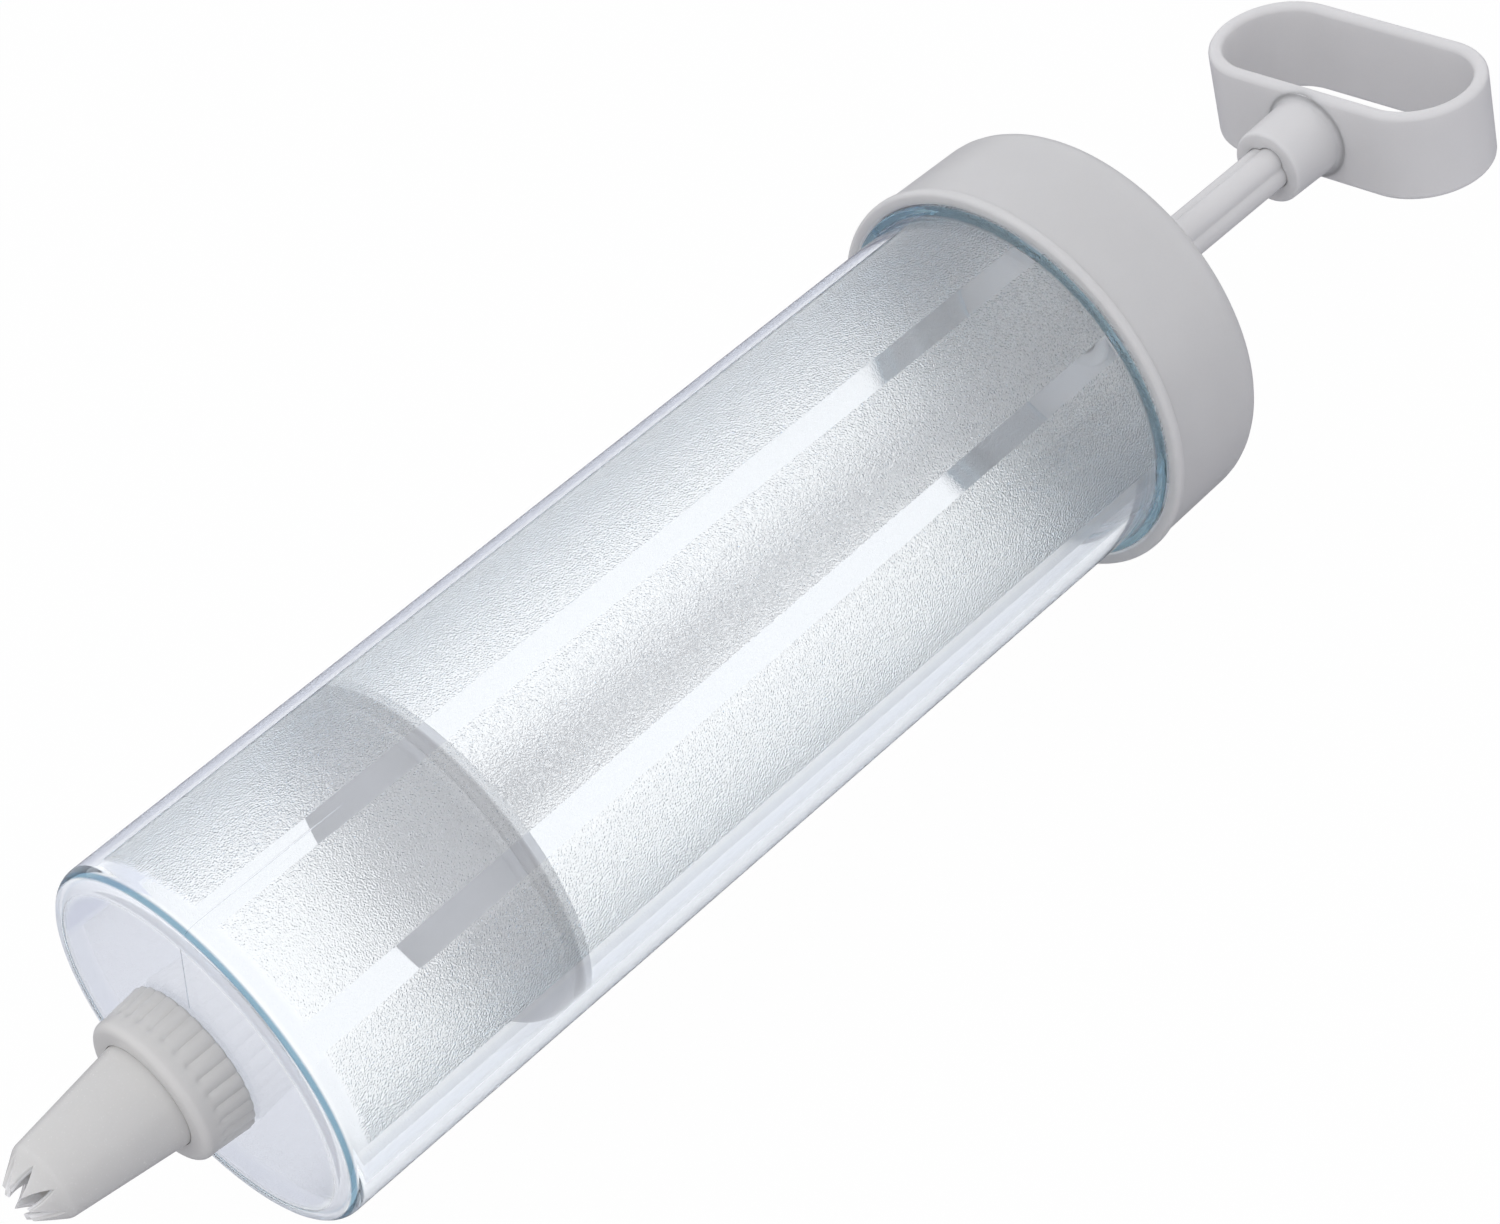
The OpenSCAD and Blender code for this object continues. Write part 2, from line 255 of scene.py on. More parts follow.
def addFloor():
    bm = bmesh.new()
    bmesh.ops.create_grid(bm, x_segments=1, y_segments=1, size=studio["floorSize"])
    mesh = bpy.data.meshes.new("floor")
    bm.to_mesh(mesh)
    bm.free()
    floor = bpy.data.objects.new("floor", mesh)
    bpy.context.scene.collection.objects.link(floor)
    finish = Finish(bpy.data.materials.new("floorWhite"))
    through = finish.rays("Is Transmission Ray")
    seen = finish.larger(through, finish.rays("Is Camera Ray"))
    lit = finish.node("ShaderNodeBsdfDiffuse", None, {
        "Color": finish.mixColour(finish.rays("Is Glossy Ray"), studio["floorShade"], studio["floorGloss"])})
    plain = finish.node("ShaderNodeEmission", None, {
        "Color": finish.mixColour(through, studio["white"], studio["floorThrough"]), "Strength": 1.0})
    floorLook = finish.node("ShaderNodeMixShader", None, {0: seen * studio["floorSeen"], 1: lit, 2: plain})
    mesh.materials.append(finish.shown(floorLook))


addCamera()
addKey()
addWorld()
addFloor()
bpy.context.scene.view_settings.view_transform = "Standard"
cycles = bpy.context.scene.cycles
cycles.max_bounces = studio["bounces"]
cycles.glossy_bounces = studio["glossBounces"]
cycles.transmission_bounces = studio["throughBounces"]
print("camera, light and floor ready")


# shaping

shaping = {
    "weld": 0.002,
    "largeRound": 1,                          # roundings from this radius up get more steps
    "fewSteps": 4,
    "moreSteps": 8,
    "sharpFrom": 40,                          # degrees between two faces
}


# A chain of corners (radius, z) or (radius, z, rounding) in the plane of the axis
def addOutline(bm, corners, closed=True):
    verts = [bm.verts.new((corner[0], 0, corner[1])) for corner in corners]
    following = verts[1:] + verts[:1] if closed else verts[1:]
    for first, second in zip(verts, following):
        bm.edges.new((first, second))
    for i, corner in enumerate(corners):
        if len(corner) == 3:
            here = Vector(corner[:2])
            before = Vector(corners[i - 1][:2]) - here
            after = Vector(corners[(i + 1) % len(corners)][:2]) - here
            steps = shaping["fewSteps"] if corner[2] < shaping["largeRound"] else shaping["moreSteps"]
            bmesh.ops.bevel(bm, geom=[verts[i]], offset=corner[2] / tan(before.angle(after) / 2),
                            offset_type="OFFSET", affect="VERTICES", segments=steps,
                            profile=0.5, material=-1, clamp_overlap=False)


# Gives each corner its rounding; 0 leaves it sharp
def rounded(corners, rounds):
    return [corner + (size,) if size else corner for corner, size in zip(corners, rounds)]


# The four corners of a block, for swept
def block(inner, outer, low, high):
    return [(inner, low), (outer, low), (outer, high), (inner, high)]


def only(kind, parts):
    return [part for part in parts if isinstance(part, kind)]


def turnBy(bm, angle):
    bmesh.ops.rotate(bm, verts=bm.verts, cent=(0, 0, 0), matrix=Matrix.Rotation(angle, 3, "Z"))


# Spins the given parts, or all there is, round the piece's axis or another one
def spun(bm, angle, steps, parts=None, centre=(0, 0, 0), axis=(0, 0, 1), climb=0.0,
         merge=False, copies=False):
    return bmesh.ops.spin(bm, geom=parts or bm.verts[:] + bm.edges[:] + bm.faces[:], cent=centre, axis=axis,
                          dvec=(0, 0, climb), angle=angle, steps=steps, use_merge=merge, use_duplicate=copies)


def tidyShell(bm):
    bmesh.ops.remove_doubles(bm, verts=bm.verts, dist=shaping["weld"])
    bmesh.ops.recalc_face_normals(bm, faces=bm.faces)


def turned(corners, steps, closed=True):
    bm = bmesh.new()
    addOutline(bm, corners, closed)
    spun(bm, 2 * pi, steps, merge=True)
    tidyShell(bm)
    return bm


# A solid swept round the axis from one face, straight or along a thread
def swept(corners, startDegrees, spanDegrees, steps, climb=0.0):
    bm = bmesh.new()
    bm.faces.new([bm.verts.new((radius, 0, z)) for radius, z in corners])
    turnBy(bm, radians(startDegrees))
    spun(bm, radians(spanDegrees), steps, climb=climb / steps)
    tidyShell(bm)
    return bm


def addTo(whole, part):
    passing = bpy.data.meshes.new("passing")
    part.to_mesh(passing)
    part.free()
    whole.from_mesh(passing)
    bpy.data.meshes.remove(passing)


def reachOf(point):
    return sqrt(point.x ** 2 + point.y ** 2)


def drawIn(point, share):
    point.x *= share
    point.y *= share


# The angle from a point to the nearest of the middles that repeat every pitch
def offMiddle(point, middle, pitch):
    return (atan2(point.y, point.x) - middle + pitch / 2) % pitch - pitch / 2


def placePiece(bm, name, node, body, material, sharpFrom=shaping["sharpFrom"]):
    bmesh.ops.transform(bm, matrix=layDown, verts=bm.verts)
    for face in bm.faces:
        face.smooth = True
    for edge in bm.edges:
        edge.smooth = len(edge.link_faces) != 2 or edge.calc_face_angle() < radians(sharpFrom)
    mesh = bpy.data.meshes.new(name)
    bm.to_mesh(mesh)
    bm.free()
    mesh.materials.append(material)
    piece = bpy.data.objects.new(name, mesh)
    bpy.context.scene.collection.objects.link(piece)
    even = piece.modifiers.new("evenNormals", "WEIGHTED_NORMAL")
    even.keep_sharp = True
    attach(piece, body)
    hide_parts(node)
    print("made", name, len(mesh.polygons), "faces")


# finishes

moulded = {
    "clouds": (0.06, 3.0),                    # noise: grains in a millimetre, detail, roughness
    "specks": (3.5, 2.0, 0.6),
    "relief": (2.2, 3.0, 0.55),
    "cloudShare": 0.7,
    "speckShare": 0.3,
    "darkest": 0.93,
    "lightest": 1.05,
    # colour of the painted light laid on places that the lamps leave too dark
    "paintedLight": (0.94, 0.94, 0.94, 1),
    "glossChange": 0.08,
    "glowReach": 0.003,
    "glowColours": (1.0, 0.95, 0.92),
    "index": 1.49,
}


# Satin moulded plastic: a faint cloudiness, a fine spark-eroded grain and uneven gloss, and where a place is
# given, painted light: a paler colour where the real light falls short
def mouldedGrey(name, colour, gloss, grainDepth, glow, paintedLightWhere=None):
    m = moulded
    finish = Finish(bpy.data.materials.new(name))
    where = finish.place()
    speck = finish.grain(where, *m["specks"])
    uneven = finish.grain(where, *m["clouds"]) * m["cloudShare"] + speck * m["speckShare"]
    darker = tuple(part * m["darkest"] for part in colour) + (1,)
    lighter = tuple(part * m["lightest"] for part in colour) + (1,)
    shade = finish.mixColour(uneven, darker, lighter)
    # Painted light: the given places turn paler, standing in for light the lamps don't bring there
    if paintedLightWhere:
        along, across, upward, radius = finish.measured(where)
        shade = finish.mixColour(paintedLightWhere(finish, radius, along), shade, m["paintedLight"])
    skin = finish.node("ShaderNodeBsdfPrincipled", {"subsurface_method": "RANDOM_WALK"}, {
        "Base Color": shade, "Roughness": gloss - m["glossChange"] / 2 + speck * m["glossChange"],
        "Normal": finish.bump(finish.grain(where, *m["relief"]), grainDepth), "IOR": m["index"],
        "Subsurface Weight": glow, "Subsurface Scale": m["glowReach"],
        "Subsurface Radius": m["glowColours"]})
    return finish.shown(skin)


clear = {
    "index": 1.49,
    "through": 0.98,
    "gloss": 0.015,
    "smear": 0.02,
    "smears": (0.05, 2.0),
    "frost": (4.6, 0.6),
    "frostGloss": 0.27,
    "frostDepth": 0.00016,
    # stripes and bands: the middle in degrees round the axis, and the limits of the half width
    "firstStripe": 109.5,
    "firstHalf": (4.1, 4.5),
    "secondStripe": 153,                      # this one drifts and narrows towards the cap
    "secondDrift": 6.0,
    "secondHalf": 4.7,
    "secondNarrows": 1.0,
    "secondEdge": (-0.2, 0.2),
    "secondOver": 161,
    "upperBand": 40,
    "lowerBand": -145,
    "bandHalf": (24.8, 25.2),
    "lineDegrees": 110.3,                     # the mould line lies inside the first stripe
    "lineHalf": (2.0, 6.0),                   # in millimetres, as all that follows
    "lineDepth": 0.00012,
    # radii between which a look comes or goes
    "boreSkin": (24.7, 25.1),
    "tubeSkin": (25.3, 25.6),
    "pastSpout": (10.6, 11.0),
    "wallEdge": (22.4, 23.4),
    "hazeFrom": (23.1, 23.7),
    "hazeTo": (25.0, 25.4),
    "rimFrom": (25.15, 25.4),
    "stopFrom": (26.05, 26.3),
    # distances behind the front face
    "faceDepth": (0.3, 0.6),
    "hazeDepth": (1.2, 1.4),
    "rimDepth": (1.2, 1.6),
    "wallDepth": (1.6, 1.8),
    "pastRim": (2.0, 2.6),
    "frostFrom": (3.5, 5.0),
    "lineFades": (8, 34),
    "stopDepth": (144.9, 145.1),
    # colours, each laid over the ones before it: the plastic's own plain tint, then painted shade on the
    # front wall, the stripes and the two side bands, and on the rim and the stop ring a teal edge colour that
    # is partly painted shade
    "plainTint": (0.99, 0.995, 1.0, 1),
    "wallPaintedShade": (0.80, 0.81, 0.87, 1),
    "stripePaintedShade": (0.83, 0.85, 0.89, 1),
    "upperPaintedShade": (0.77, 0.79, 0.87, 1),
    "lowerPaintedShade": (0.93, 0.945, 0.98, 1),
    "rimTealAndShade": (0.07, 0.18, 0.28, 1),
    "stopTealAndShade": (0.36, 0.61, 0.72, 1),
    "hazeTint": (0.88, 0.91, 0.96, 1),
    "hazeShare": 0.72,
    "shadowTint": (0.985, 0.99, 0.995, 1),
    "taken": (0.35, 0.68, 0.88, 1),           # what a long way through the plastic leaves of white
    "takenDensity": 13.0,
}


def clearPlastic():
    c = clear
    finish = Finish(bpy.data.materials.new("clearPlastic"))
    where = finish.place()
    along, across, upward, radius = finish.measured(where)
    degrees = finish.node("ShaderNodeMath", {"operation": "ARCTAN2"}, {0: upward, 1: across}) * (180 / pi)

    def past(value, limits):
        return finish.rise(value, *c[limits])

    def before(value, limits):
        return 1 - past(value, limits)

    # Two polished stripes run along the frosted bore, and two wide polished bands lie at the sides
    first = before(abs(degrees - c["firstStripe"]), "firstHalf")
    length = along / c["secondOver"]
    secondOff = abs(degrees - (c["secondStripe"] - length * c["secondDrift"]))
    second = before(secondOff - (c["secondHalf"] - length * c["secondNarrows"]), "secondEdge")
    upper = before(abs(degrees - c["upperBand"]), "bandHalf")
    lower = before(abs(degrees - c["lowerBand"]), "bandHalf")
    boreSkin = before(radius, "boreSkin")
    inBore = boreSkin * past(along, "frostFrom")
    frost = inBore * (1 - first) * (1 - second) * (1 - upper) * (1 - lower)
    relief = finish.bump((finish.grain(where, *c["frost"]) - 0.5) * frost, c["frostDepth"])

    # The mould line shows on the tube near the front and on the front wall
    line = before(abs(degrees - c["lineDegrees"]) * radius, "lineHalf")
    nearFront = past(radius, "tubeSkin") * before(along, "lineFades")
    onFace = past(radius, "pastSpout") * before(along, "faceDepth")
    relief = finish.bump(line * (nearFront + onFace), c["lineDepth"], relief)

    behindRim = past(along, "pastRim")
    frontBore = boreSkin * behindRim * before(along, "frostFrom")
    shade = c["plainTint"]
    # Painted shade laid into the colour: the front wall, the polished stripes and the side bands darker, the
    # rim and the stop ring dark teal, partly their edge colour and partly painted shade
    for mask, paintedShadeKey in ((before(along, "wallDepth") * before(radius, "wallEdge"), "wallPaintedShade"),
                       # painted shade on the polished stripes and the front ring
                       (inBore * (first + second) + frontBore, "stripePaintedShade"),
                       # painted shade on the upper band, darker than on the lower one
                       (behindRim * upper, "upperPaintedShade"),
                       (behindRim * lower, "lowerPaintedShade"),
                       # teal edge colour with painted shade on the front rim and the stop ring
                       (past(radius, "rimFrom") * before(along, "rimDepth"), "rimTealAndShade"),
                       (past(radius, "stopFrom") * before(along, "stopDepth"), "stopTealAndShade")):
        shade = finish.mixColour(mask, shade, c[paintedShadeKey])
    smear = finish.grain(where, *c["smears"])
    body = finish.node("ShaderNodeBsdfPrincipled", None, {
        "Base Color": shade, "Transmission Weight": c["through"], "IOR": c["index"],
        "Roughness": c["gloss"] + smear * c["smear"] + frost * c["frostGloss"], "Normal": relief})

    # A little haze where the front wall turns into the tube
    haze = finish.node("ShaderNodeBsdfDiffuse", None, {"Color": c["hazeTint"]})
    corner = past(radius, "hazeFrom") * before(radius, "hazeTo") * before(along, "hazeDepth")
    body = finish.node("ShaderNodeMixShader", None, {0: corner * c["hazeShare"], 1: body, 2: haze})
    passing = finish.node("ShaderNodeBsdfTransparent", None, {"Color": c["shadowTint"]})
    surface = finish.node("ShaderNodeMixShader", None, {0: finish.rays("Is Shadow Ray"), 1: body, 2: passing})
    volume = finish.node("ShaderNodeVolumeAbsorption", None, {
        "Color": c["taken"], "Density": c["takenDensity"]})
    return finish.shown(surface, volume)


# Places painted paler to stand in for light, as limits of radius and of distance behind the barrel's front
# face: painted light inside the cap and between the nozzle's teeth, where the lamps leave them too dark, and
# a painted highlight on the piston's thin rear lip
paintedLightPlaces = {
    "capBore": (27.5, 27.8), "capEnd": (162, 162.3),
    "lipSkin": (23.6, 23.9), "rearLip": (38.9, 39.2),
    "toothTaper": 0.66, "toothBore": (20.1, 20.4), "toothEnd": (-24.0, -23.4),
}


# Painted light on the cap's inside, which the light through the barrel leaves too dark
def paintedLightInsideCap(finish, radius, along):
    p = paintedLightPlaces
    return (1 - finish.rise(radius, *p["capBore"])) * (1 - finish.rise(along, *p["capEnd"]))


# Painted highlight along the piston's thin rear lip, standing in for light shining through it
def paintedHighlightOnRearLip(finish, radius, along):
    p = paintedLightPlaces
    return finish.rise(radius, *p["lipSkin"]) * finish.rise(along, *p["rearLip"])


# Painted light between the nozzle's teeth, whose inside the lamps leave too dark
def paintedLightInsideTeeth(finish, radius, along):
    p = paintedLightPlaces
    bore = finish.rise(radius - along * p["toothTaper"], *p["toothBore"])
    return (1 - bore) * (1 - finish.rise(along, *p["toothEnd"]))


clearBarrelFinish = clearPlastic()
capFinish = mouldedGrey("capGrey", (0.61, 0.61, 0.61), gloss=0.36,
                        grainDepth=0.000006, glow=0.8, paintedLightWhere=paintedLightInsideCap)
plungerFinish = mouldedGrey("plungerGrey", (0.69, 0.687, 0.69), gloss=0.32,
                            grainDepth=0.000006, glow=0.45)
pistonFinish = mouldedGrey("milkyPiston", (0.64, 0.635, 0.64), gloss=0.36,
                           grainDepth=0.000004, glow=0.25, paintedLightWhere=paintedHighlightOnRearLip)
ringFinish = mouldedGrey("ringGrey", (0.66, 0.655, 0.64), gloss=0.30,
                         grainDepth=0.000003, glow=0.1)
nozzleFinish = mouldedGrey("nozzleGrey", (0.65, 0.645, 0.63), gloss=0.26,
                           grainDepth=0.000003, glow=0.6, paintedLightWhere=paintedLightInsideTeeth)
print("finishes ready")


# clear barrel; roundings are named in the outline's order, here and below

barrel = {
    "radius": 26.0, "bore": 24.3, "length": 161.0, "frontWall": 1.5, "funnel": 0.6,
    "spout": 8.2, "spoutBore": 5.0, "spoutEnd": -4.9,
    "stopRadius": 27.3, "stopFrom": 144.5, "stopTo": 146.5,
    "rounds": (0.3, 0.5, 0.6,                 # the spout
               2.4,                           # the front rim
               0.35, 0.45, 0.35, 0.25,        # the stop ring
               0.5, 0.5,                      # the rear end
               0.9, 0.2, 0.2),                # the bore's front corner and the funnel
    "steps": 192,
    "lugRadius": 27.2, "lugFrom": 149.4, "lugTo": 151.6, "rampFrom": 146.6,
    "lugMiddles": (60, 180, 300),
    "lugArc": (-16.5, 32.5, 14),              # start from the middle and length in degrees, steps
    "rampArc": (-19.5, 3.0, 3),
    "threadRadius": 8.42, "threadPitch": 2.3, "threadDegrees": 400, "threadSteps": 72,
    "threadRidge": (-4.0, -3.7, -3.4, -3.1),
    "sunk": 0.02,                             # how deep lugs and thread start in the wall
}


def makeBarrel():
    b = barrel
    bm = turned(rounded([
        (b["spoutBore"], b["spoutEnd"]), (b["spout"], b["spoutEnd"]), (b["spout"], 0), (b["radius"], 0),
        (b["radius"], b["stopFrom"]), (b["stopRadius"], b["stopFrom"]),
        (b["stopRadius"], b["stopTo"]), (b["radius"], b["stopTo"]),
        (b["radius"], b["length"]), (b["bore"], b["length"]), (b["bore"], b["frontWall"]),
        (b["spoutBore"] + b["funnel"], b["frontWall"]),
        (b["spoutBore"], b["frontWall"] - b["funnel"])], b["rounds"]), b["steps"])
    inner = b["radius"] - b["sunk"]
    for middle in b["lugMiddles"]:
        for low, high, (start, span, steps) in ((b["lugFrom"], b["lugTo"], b["lugArc"]),
                                                (b["rampFrom"], b["lugFrom"], b["rampArc"])):
            addTo(bm, swept(block(inner, b["lugRadius"], low, high), middle + start, span, steps))
    foot = b["spout"] - b["sunk"]
    ridge = list(zip((foot, b["threadRadius"], b["threadRadius"], foot), b["threadRidge"]))
    addTo(bm, swept(ridge, 0, b["threadDegrees"], b["threadSteps"],
                    b["threadPitch"] * b["threadDegrees"] / 360))
    placePiece(bm, "clearBarrel", "barrel", "barrel", clearBarrelFinish)


makeBarrel()


# end cap

cap = {
    "mouth": 145.0, "bead": 29.24, "beadTo": 146.3, "front": 28.9, "rear": 28.5, "end": 164.0,
    "mouthBore": 27.4, "step": 152.1, "rearBore": 26.5, "innerEnd": 161.5,
    "rodHole": 3.72, "guide": 6.12, "guideFrom": 158.0,
    "rounds": (0.45, 0.6, 0.3, 0.12,          # the mouth and its bead
               4.0,                           # the rear edge
               0.5, 0.4, 0.4, 0.4,            # the rod's hole and its guide
               0.6, 0.3, 0.3),                # inside
    "steps": 192,
    "lugMiddles": (60, 180, 300), "lugArc": (-16, 32, 14),
    "lugBore": 26.1, "lugFrom": 146.55, "lugTo": 149.35, "sunk": 0.3,
}


def makeCap():
    c = cap
    bm = turned(rounded([
        (c["mouthBore"], c["mouth"]), (c["bead"], c["mouth"]), (c["bead"], c["beadTo"]),
        (c["front"], c["beadTo"]), (c["rear"], c["end"]), (c["rodHole"], c["end"]),
        (c["rodHole"], c["guideFrom"]), (c["guide"], c["guideFrom"]), (c["guide"], c["innerEnd"]),
        (c["rearBore"], c["innerEnd"]), (c["rearBore"], c["step"]),
        (c["mouthBore"], c["step"])], c["rounds"]), c["steps"])
    lug = block(c["lugBore"], c["mouthBore"] + c["sunk"], c["lugFrom"], c["lugTo"])
    start, span, steps = c["lugArc"]
    for middle in c["lugMiddles"]:
        addTo(bm, swept(lug, middle + start, span, steps))
    placePiece(bm, "endCap", "end_cap", "cap", capFinish)


makeCap()


# piston with two sealing lips

piston = {
    "front": 35.9, "rear": 40.3, "radius": 24.25, "lipEnd": 37.05, "rearLip": 39.15,
    "grooveRadius": 23.35, "grooveSlope": 0.45, "skirt": 21.95, "floor": 37.5,
    "hub": 6.97, "hubEnd": 40.9, "lipHole": 3.57, "cavity": 5.07, "lipFrom": 39.4,
    "rounds": (0, 0.95, 0.04,                 # the front and its lip
               0.3, 0.3, 0.2, 0.25,           # the groove and the rear lip
               0.3, 0.6,                      # the skirt
               0.6, 0.35, 0.35, 0, 0, 0, 0),  # the hub and its cavity
    "steps": 144,
}


def makePiston():
    p = piston
    bm = turned(rounded([
        (0, p["front"]), (p["radius"], p["front"]), (p["radius"], p["lipEnd"]),
        (p["grooveRadius"], p["lipEnd"] + p["grooveSlope"]),
        (p["grooveRadius"], p["rearLip"] - p["grooveSlope"]), (p["radius"], p["rearLip"]),
        (p["radius"], p["rear"]), (p["skirt"], p["rear"]), (p["skirt"], p["floor"]),
        (p["hub"], p["floor"]), (p["hub"], p["hubEnd"]), (p["lipHole"], p["hubEnd"]),
        (p["lipHole"], p["lipFrom"]), (p["cavity"], p["lipFrom"]), (p["cavity"], p["floor"]),
        (0, p["floor"])], p["rounds"]), p["steps"], closed=False)
    placePiece(bm, "lippedPiston", "piston", "piston", pistonFinish)


makePiston()


# plunger rod

rod = {
    "radius": 3.42, "lobeShare": 0.6, "lobes": 4, "lobeDegrees": 118.5, "from": 38.0, "to": 208.45,
    "headRadius": 5.02, "headFrom": 37.55, "headTo": 39.35, "headRound": 0.4,
    "steps": 96, "headSteps": 64,
}


# How far the rod's four-lobed section reaches in the direction of a point
def lobeReach(point):
    lobe = rod["radius"] * rod["lobeShare"]
    out = rod["radius"] - lobe
    off = offMiddle(point, radians(rod["lobeDegrees"]), 2 * pi / rod["lobes"])
    return out * cos(off) + sqrt(lobe ** 2 - (out * sin(off)) ** 2)


def makeRod():
    r = rod
    bm = bmesh.new()
    bmesh.ops.create_circle(bm, cap_ends=True, radius=1, segments=r["steps"])
    for vert in bm.verts:
        vert.co *= lobeReach(vert.co)
        vert.co.z = r["from"]
    stretched = bmesh.ops.extrude_face_region(bm, geom=bm.faces[:])
    bmesh.ops.translate(bm, verts=only(bmesh.types.BMVert, stretched["geom"]),
                        vec=(0, 0, r["to"] - r["from"]))
    tidyShell(bm)
    addTo(bm, turned([(0, r["headFrom"]), (r["headRadius"], r["headFrom"], r["headRound"]),
                      (r["headRadius"], r["headTo"], r["headRound"]), (0, r["headTo"])],
                     r["headSteps"], closed=False))
    placePiece(bm, "lobedRod", "plunger_rod", "plunger", plungerFinish)


makeRod()


# handle: finger loop on its boss

handle = {
    "loopLength": 44.2, "loopWidth": 20.4, "loopHeight": 13.9, "wall": 2.1, "rimRound": 0.93,
    "loopFrom": 209.3, "bandSteps": 32,
    "bossFrom": 200.4, "bossRadius": 5.54, "bossRoot": 5.8, "bossSteps": 96,
    "bossSunk": 209.33, "bossEnd": 210.2,     # the boss ends inside the band
    "bossSkirt": 6.6, "bossFlare": 0.1,
    "socket": 3.47, "socketEnd": 208.5,
    "rounds": (0, 0, 0.35, 0.45, 0.8, 0, 0, 0),                 # of the boss
    "socketWithin": (0.1, 0.4, 0.1),          # spare at the axis, outside the socket and past its end
}


def makeHandle():
    h = handle
    outer = h["loopWidth"] / 2
    middle = h["loopFrom"] + outer
    straight = h["loopLength"] / 2 - outer
    tall = h["loopHeight"] / 2
    bm = bmesh.new()
    # The band's rounded section, first drawn in the plane of the axis and then set at the loop's first end
    addOutline(bm, rounded(block(-tall, tall, -outer, h["wall"] - outer), [h["rimRound"]] * 4))
    turnBy(bm, pi / 2)
    bmesh.ops.translate(bm, verts=bm.verts, vec=(straight, 0, middle))
    ring = bm.edges[:]
    for side in (1, -1):
        ends = list(dict.fromkeys(vert for edge in ring for vert in edge.verts))
        arc = spun(bm, pi, h["bandSteps"], ends + ring, (side * straight, 0, middle), (0, -1, 0))
        drawn = bmesh.ops.extrude_edge_only(bm, edges=only(bmesh.types.BMEdge, arc["geom_last"]))["geom"]
        bmesh.ops.translate(bm, verts=only(bmesh.types.BMVert, drawn), vec=(-side * 2 * straight, 0, 0))
        ring = [edge for edge in only(bmesh.types.BMEdge, drawn) if all(vert in drawn for vert in edge.verts)]
    tidyShell(bm)
    boss = turned(rounded([
        (0, h["socketEnd"]), (h["socket"], h["socketEnd"]), (h["socket"], h["bossFrom"]),
        (h["bossRadius"], h["bossFrom"]), (h["bossRoot"], h["bossSunk"]),
        (h["bossSkirt"] + h["bossFlare"], h["bossSunk"]), (h["bossSkirt"], h["bossEnd"]),
        (0, h["bossEnd"])], h["rounds"]), h["bossSteps"], closed=False)
    atAxis, outside, pastEnd = h["socketWithin"]
    for vert in boss.verts:                   # the socket follows the rod's lobes
        reach = reachOf(vert.co)
        if atAxis < reach < h["socket"] + outside and vert.co.z < h["socketEnd"] + pastEnd:
            drawIn(vert.co, 1 - (rod["radius"] - lobeReach(vert.co)) / reach)
    addTo(bm, boss)
    placePiece(bm, "loopHandle", "handle", "plunger", plungerFinish)


makeHandle()


# coupling ring

coupling = {
    "rear": -0.3, "ribsTo": -5.5, "front": -7.6, "radius": 10.56, "collar": 10.11, "bore": 8.5,
    "lipFrom": -6.2, "lipHole": 7.55, "lipFlare": 0.24, "stations": 20,
    "rounds": (0.2, 0.25), "frontRounds": (1.15, 0.1, 0.1, 0.2),
    "ribs": 30, "perRib": 10, "ribRadius": 1.327, "dipShare": 0.65,
    "fadeOver": 1.2,                          # the ribs fade out before the collar
    "skinFrom": 9.4, "sharpFrom": 44,
}


def makeRing():
    k = coupling
    flank = []
    for i in range(k["stations"] + 1):
        share = i / k["stations"]
        flank.append((k["radius"] + (k["collar"] - k["radius"]) * share,
                      k["rear"] + (k["ribsTo"] - k["rear"]) * share))
    bm = turned(rounded([(k["bore"], k["rear"]), flank[0]], k["rounds"]) + flank[1:] + rounded([
        (k["collar"], k["front"]), (k["lipHole"] - k["lipFlare"], k["front"]),
        (k["lipHole"], k["lipFrom"]), (k["bore"], k["lipFrom"])], k["frontRounds"]), k["ribs"] * k["perRib"])
    core = k["radius"] - k["ribRadius"]
    for vert in bm.verts:
        reach = reachOf(vert.co)
        fade = min(1.0, (vert.co.z - k["ribsTo"]) / k["fadeOver"])
        if reach > k["skinFrom"] and fade > 0:
            off = offMiddle(vert.co, 0, 2 * pi / k["ribs"])
            dip = k["radius"] - core * cos(off) - sqrt(k["ribRadius"] ** 2 - (core * sin(off)) ** 2)
            drawIn(vert.co, 1 - k["dipShare"] * dip * fade * fade * (3 - 2 * fade) / reach)
    bmesh.ops.recalc_face_normals(bm, faces=bm.faces)
    placePiece(bm, "ribbedRing", "coupling_ring", "coupling", ringFinish, k["sharpFrom"])


makeRing()


# star nozzle

nozzle = {
    "flange": 8.2, "flangeFrom": -4.95, "flangeTo": -6.15, "root": 7.43, "wall": 1.2,
    "shoulder": 5.28, "shoulderAt": -23.5, "tip": 2.69, "tipAt": -27.3, "tipWall": 0.9,
    "rounds": (0.2, 0.3, 0.3, 0.2, 1.6), "innerRound": 1.2,
    "teeth": 8, "toothDegrees": 131.6, "cutFrom": -24.2, "cutShare": 0.92, "perTooth": 12, "rows": 12,
    "pointFrom": 0.86, "pointOver": 0.14,     # the teeth's points start at this share of the cut
    "thinnest": 0.0004,
    "flankDegrees": 50, "flankRound": 0.1, "flankSteps": 2, "flankSpare": (0.01, 0.3),
}


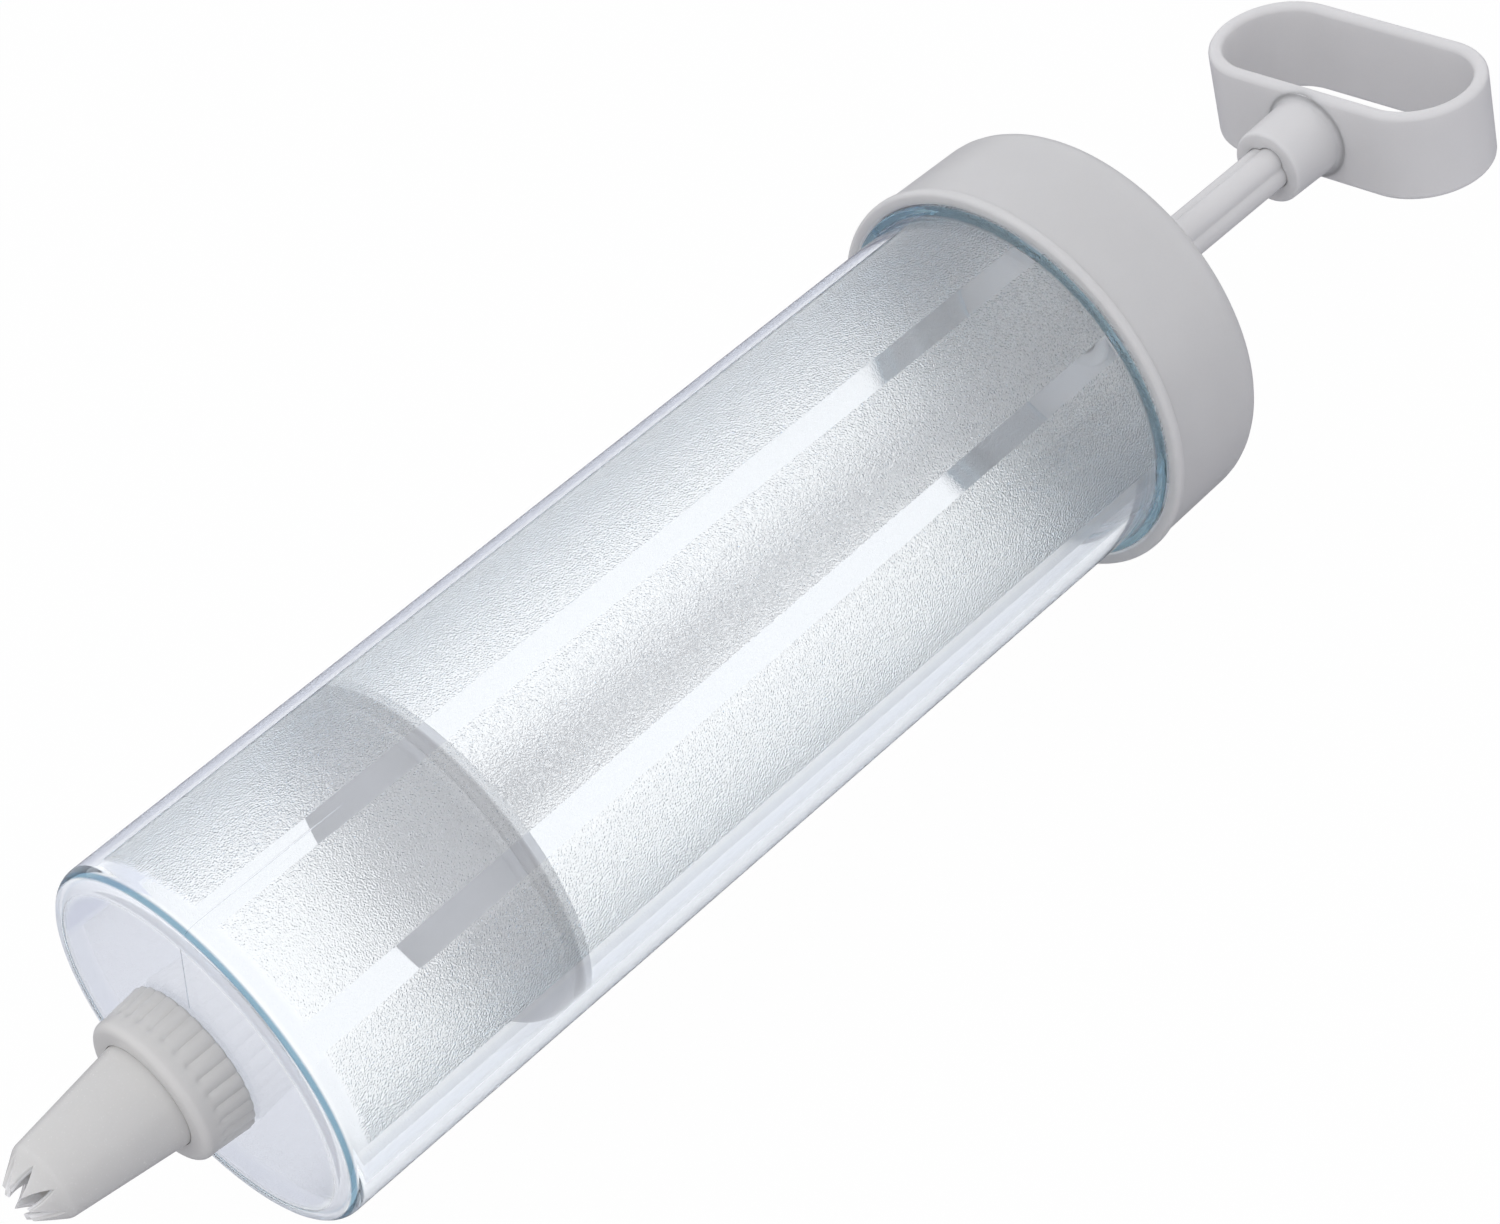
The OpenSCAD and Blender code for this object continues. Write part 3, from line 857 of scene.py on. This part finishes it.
def makeNozzle():
    n = nozzle
    pitch = 2 * pi / n["teeth"]
    middle = radians(n["toothDegrees"])

    # Radius of the outer skin (0) or the inner one (1) in front of the shoulder
    def skin(z, inner):
        first, last = n["shoulder"] - n["wall"] * inner, n["tip"] - n["tipWall"] * inner
        return first + (last - first) * (n["shoulderAt"] - z) / (n["shoulderAt"] - n["tipAt"])

    cuts = [n["cutFrom"] + (n["tipAt"] - n["cutFrom"]) * i / n["rows"] for i in range(n["rows"] + 1)]
    bm = bmesh.new()
    addOutline(bm, rounded([
        (n["root"] - n["wall"], n["flangeFrom"]), (n["flange"], n["flangeFrom"]),
        (n["flange"], n["flangeTo"]), (n["root"], n["flangeTo"]),
        (n["shoulder"], n["shoulderAt"])], n["rounds"])
        + [(skin(z, 0), z) for z in cuts] + [(skin(z, 1), z) for z in reversed(cuts)]
        + [(n["shoulder"] - n["wall"], n["shoulderAt"], n["innerRound"])])
    turnBy(bm, middle - pitch / 2)
    spun(bm, pitch, n["perTooth"])
    # The two flanks of the tooth, where the cut opens it
    for edge in (middle - pitch / 2, middle + pitch / 2):
        rows = []
        for z in cuts:
            rows.append([min(bm.verts, key=lambda vert: (vert.co - Vector(
                (skin(z, inner) * cos(edge), skin(z, inner) * sin(edge), z))).length) for inner in (0, 1)])
        for above, below in zip(rows, rows[1:]):
            bm.faces.new((above[0], above[1], below[1], below[0]))
    for vert in bm.verts:
        if vert.co.z < n["cutFrom"]:
            down = (n["cutFrom"] - vert.co.z) / (n["cutFrom"] - n["tipAt"])
            keep = 1 - n["cutShare"] * down
            if down > n["pointFrom"]:
                keep *= sqrt(max(n["thinnest"], 1 - ((down - n["pointFrom"]) / n["pointOver"]) ** 2))
            turn = middle + offMiddle(vert.co, middle, 2 * pi) * keep
            reach = reachOf(vert.co)
            vert.co.x, vert.co.y = reach * cos(turn), reach * sin(turn)
    spun(bm, 2 * pi - pitch, n["teeth"] - 1, copies=True)
    tidyShell(bm)
    above, below = n["flankSpare"]
    flanks = [edge for edge in bm.edges
              if len(edge.link_faces) == 2 and edge.calc_face_angle() > radians(n["flankDegrees"])
              and max(vert.co.z for vert in edge.verts) < n["cutFrom"] + above
              and min(vert.co.z for vert in edge.verts) > n["tipAt"] + below]
    bmesh.ops.bevel(bm, geom=flanks, offset=n["flankRound"], offset_type="OFFSET", affect="EDGES",
                    segments=n["flankSteps"], profile=0.5, material=-1, clamp_overlap=True)
    placePiece(bm, "starNozzle", "star_nozzle", "nozzle", nozzleFinish)


makeNozzle()

bpy.context.view_layer.update()
